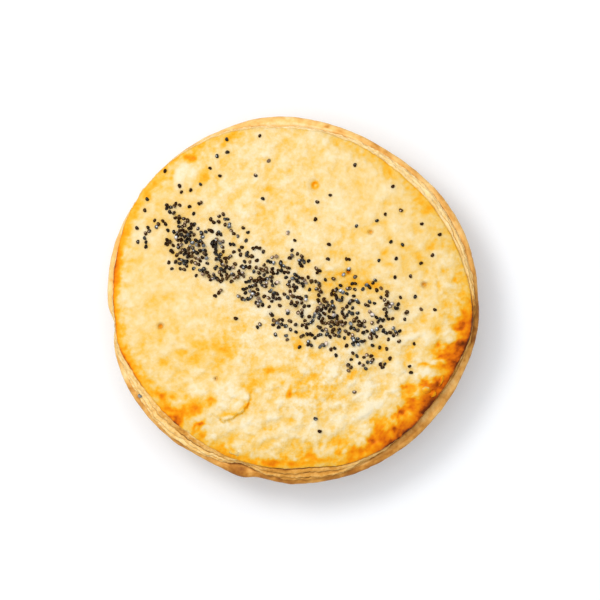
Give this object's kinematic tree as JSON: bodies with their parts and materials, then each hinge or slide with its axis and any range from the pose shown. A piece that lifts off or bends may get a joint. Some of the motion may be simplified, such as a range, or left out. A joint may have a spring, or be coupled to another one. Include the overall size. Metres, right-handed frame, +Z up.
{
  "type": "lamb pie",
  "caption": "Single-serve round meat pie: a filled shortcrust case with a flat rim, and a golden puff pastry lid strewn with poppy seeds in a diagonal band.",
  "frame": {"origin": "middle of the base, on the surface that the pie stands on", "axes": "+Z up, out of the lid; +X to the right and +Y to the top of the pie as seen from above"},
  "size_m": [0.1101, 0.1091, 0.037],
  "materials": {
    "shortcrust": "tin-baked shortcrust pastry, matt and tan, browner on the rim and the lower edge",
    "puff_pastry": "egg-washed puff pastry, golden with a soft shine and a browned edge",
    "poppy_seed": "dry poppy seeds, warm black to slate grey with a dull shine"
  },
  "bodies": {
    "root": {"pastry_case": "shortcrust", "pastry_lid": "puff_pastry"}
  },
  "joints": []
}
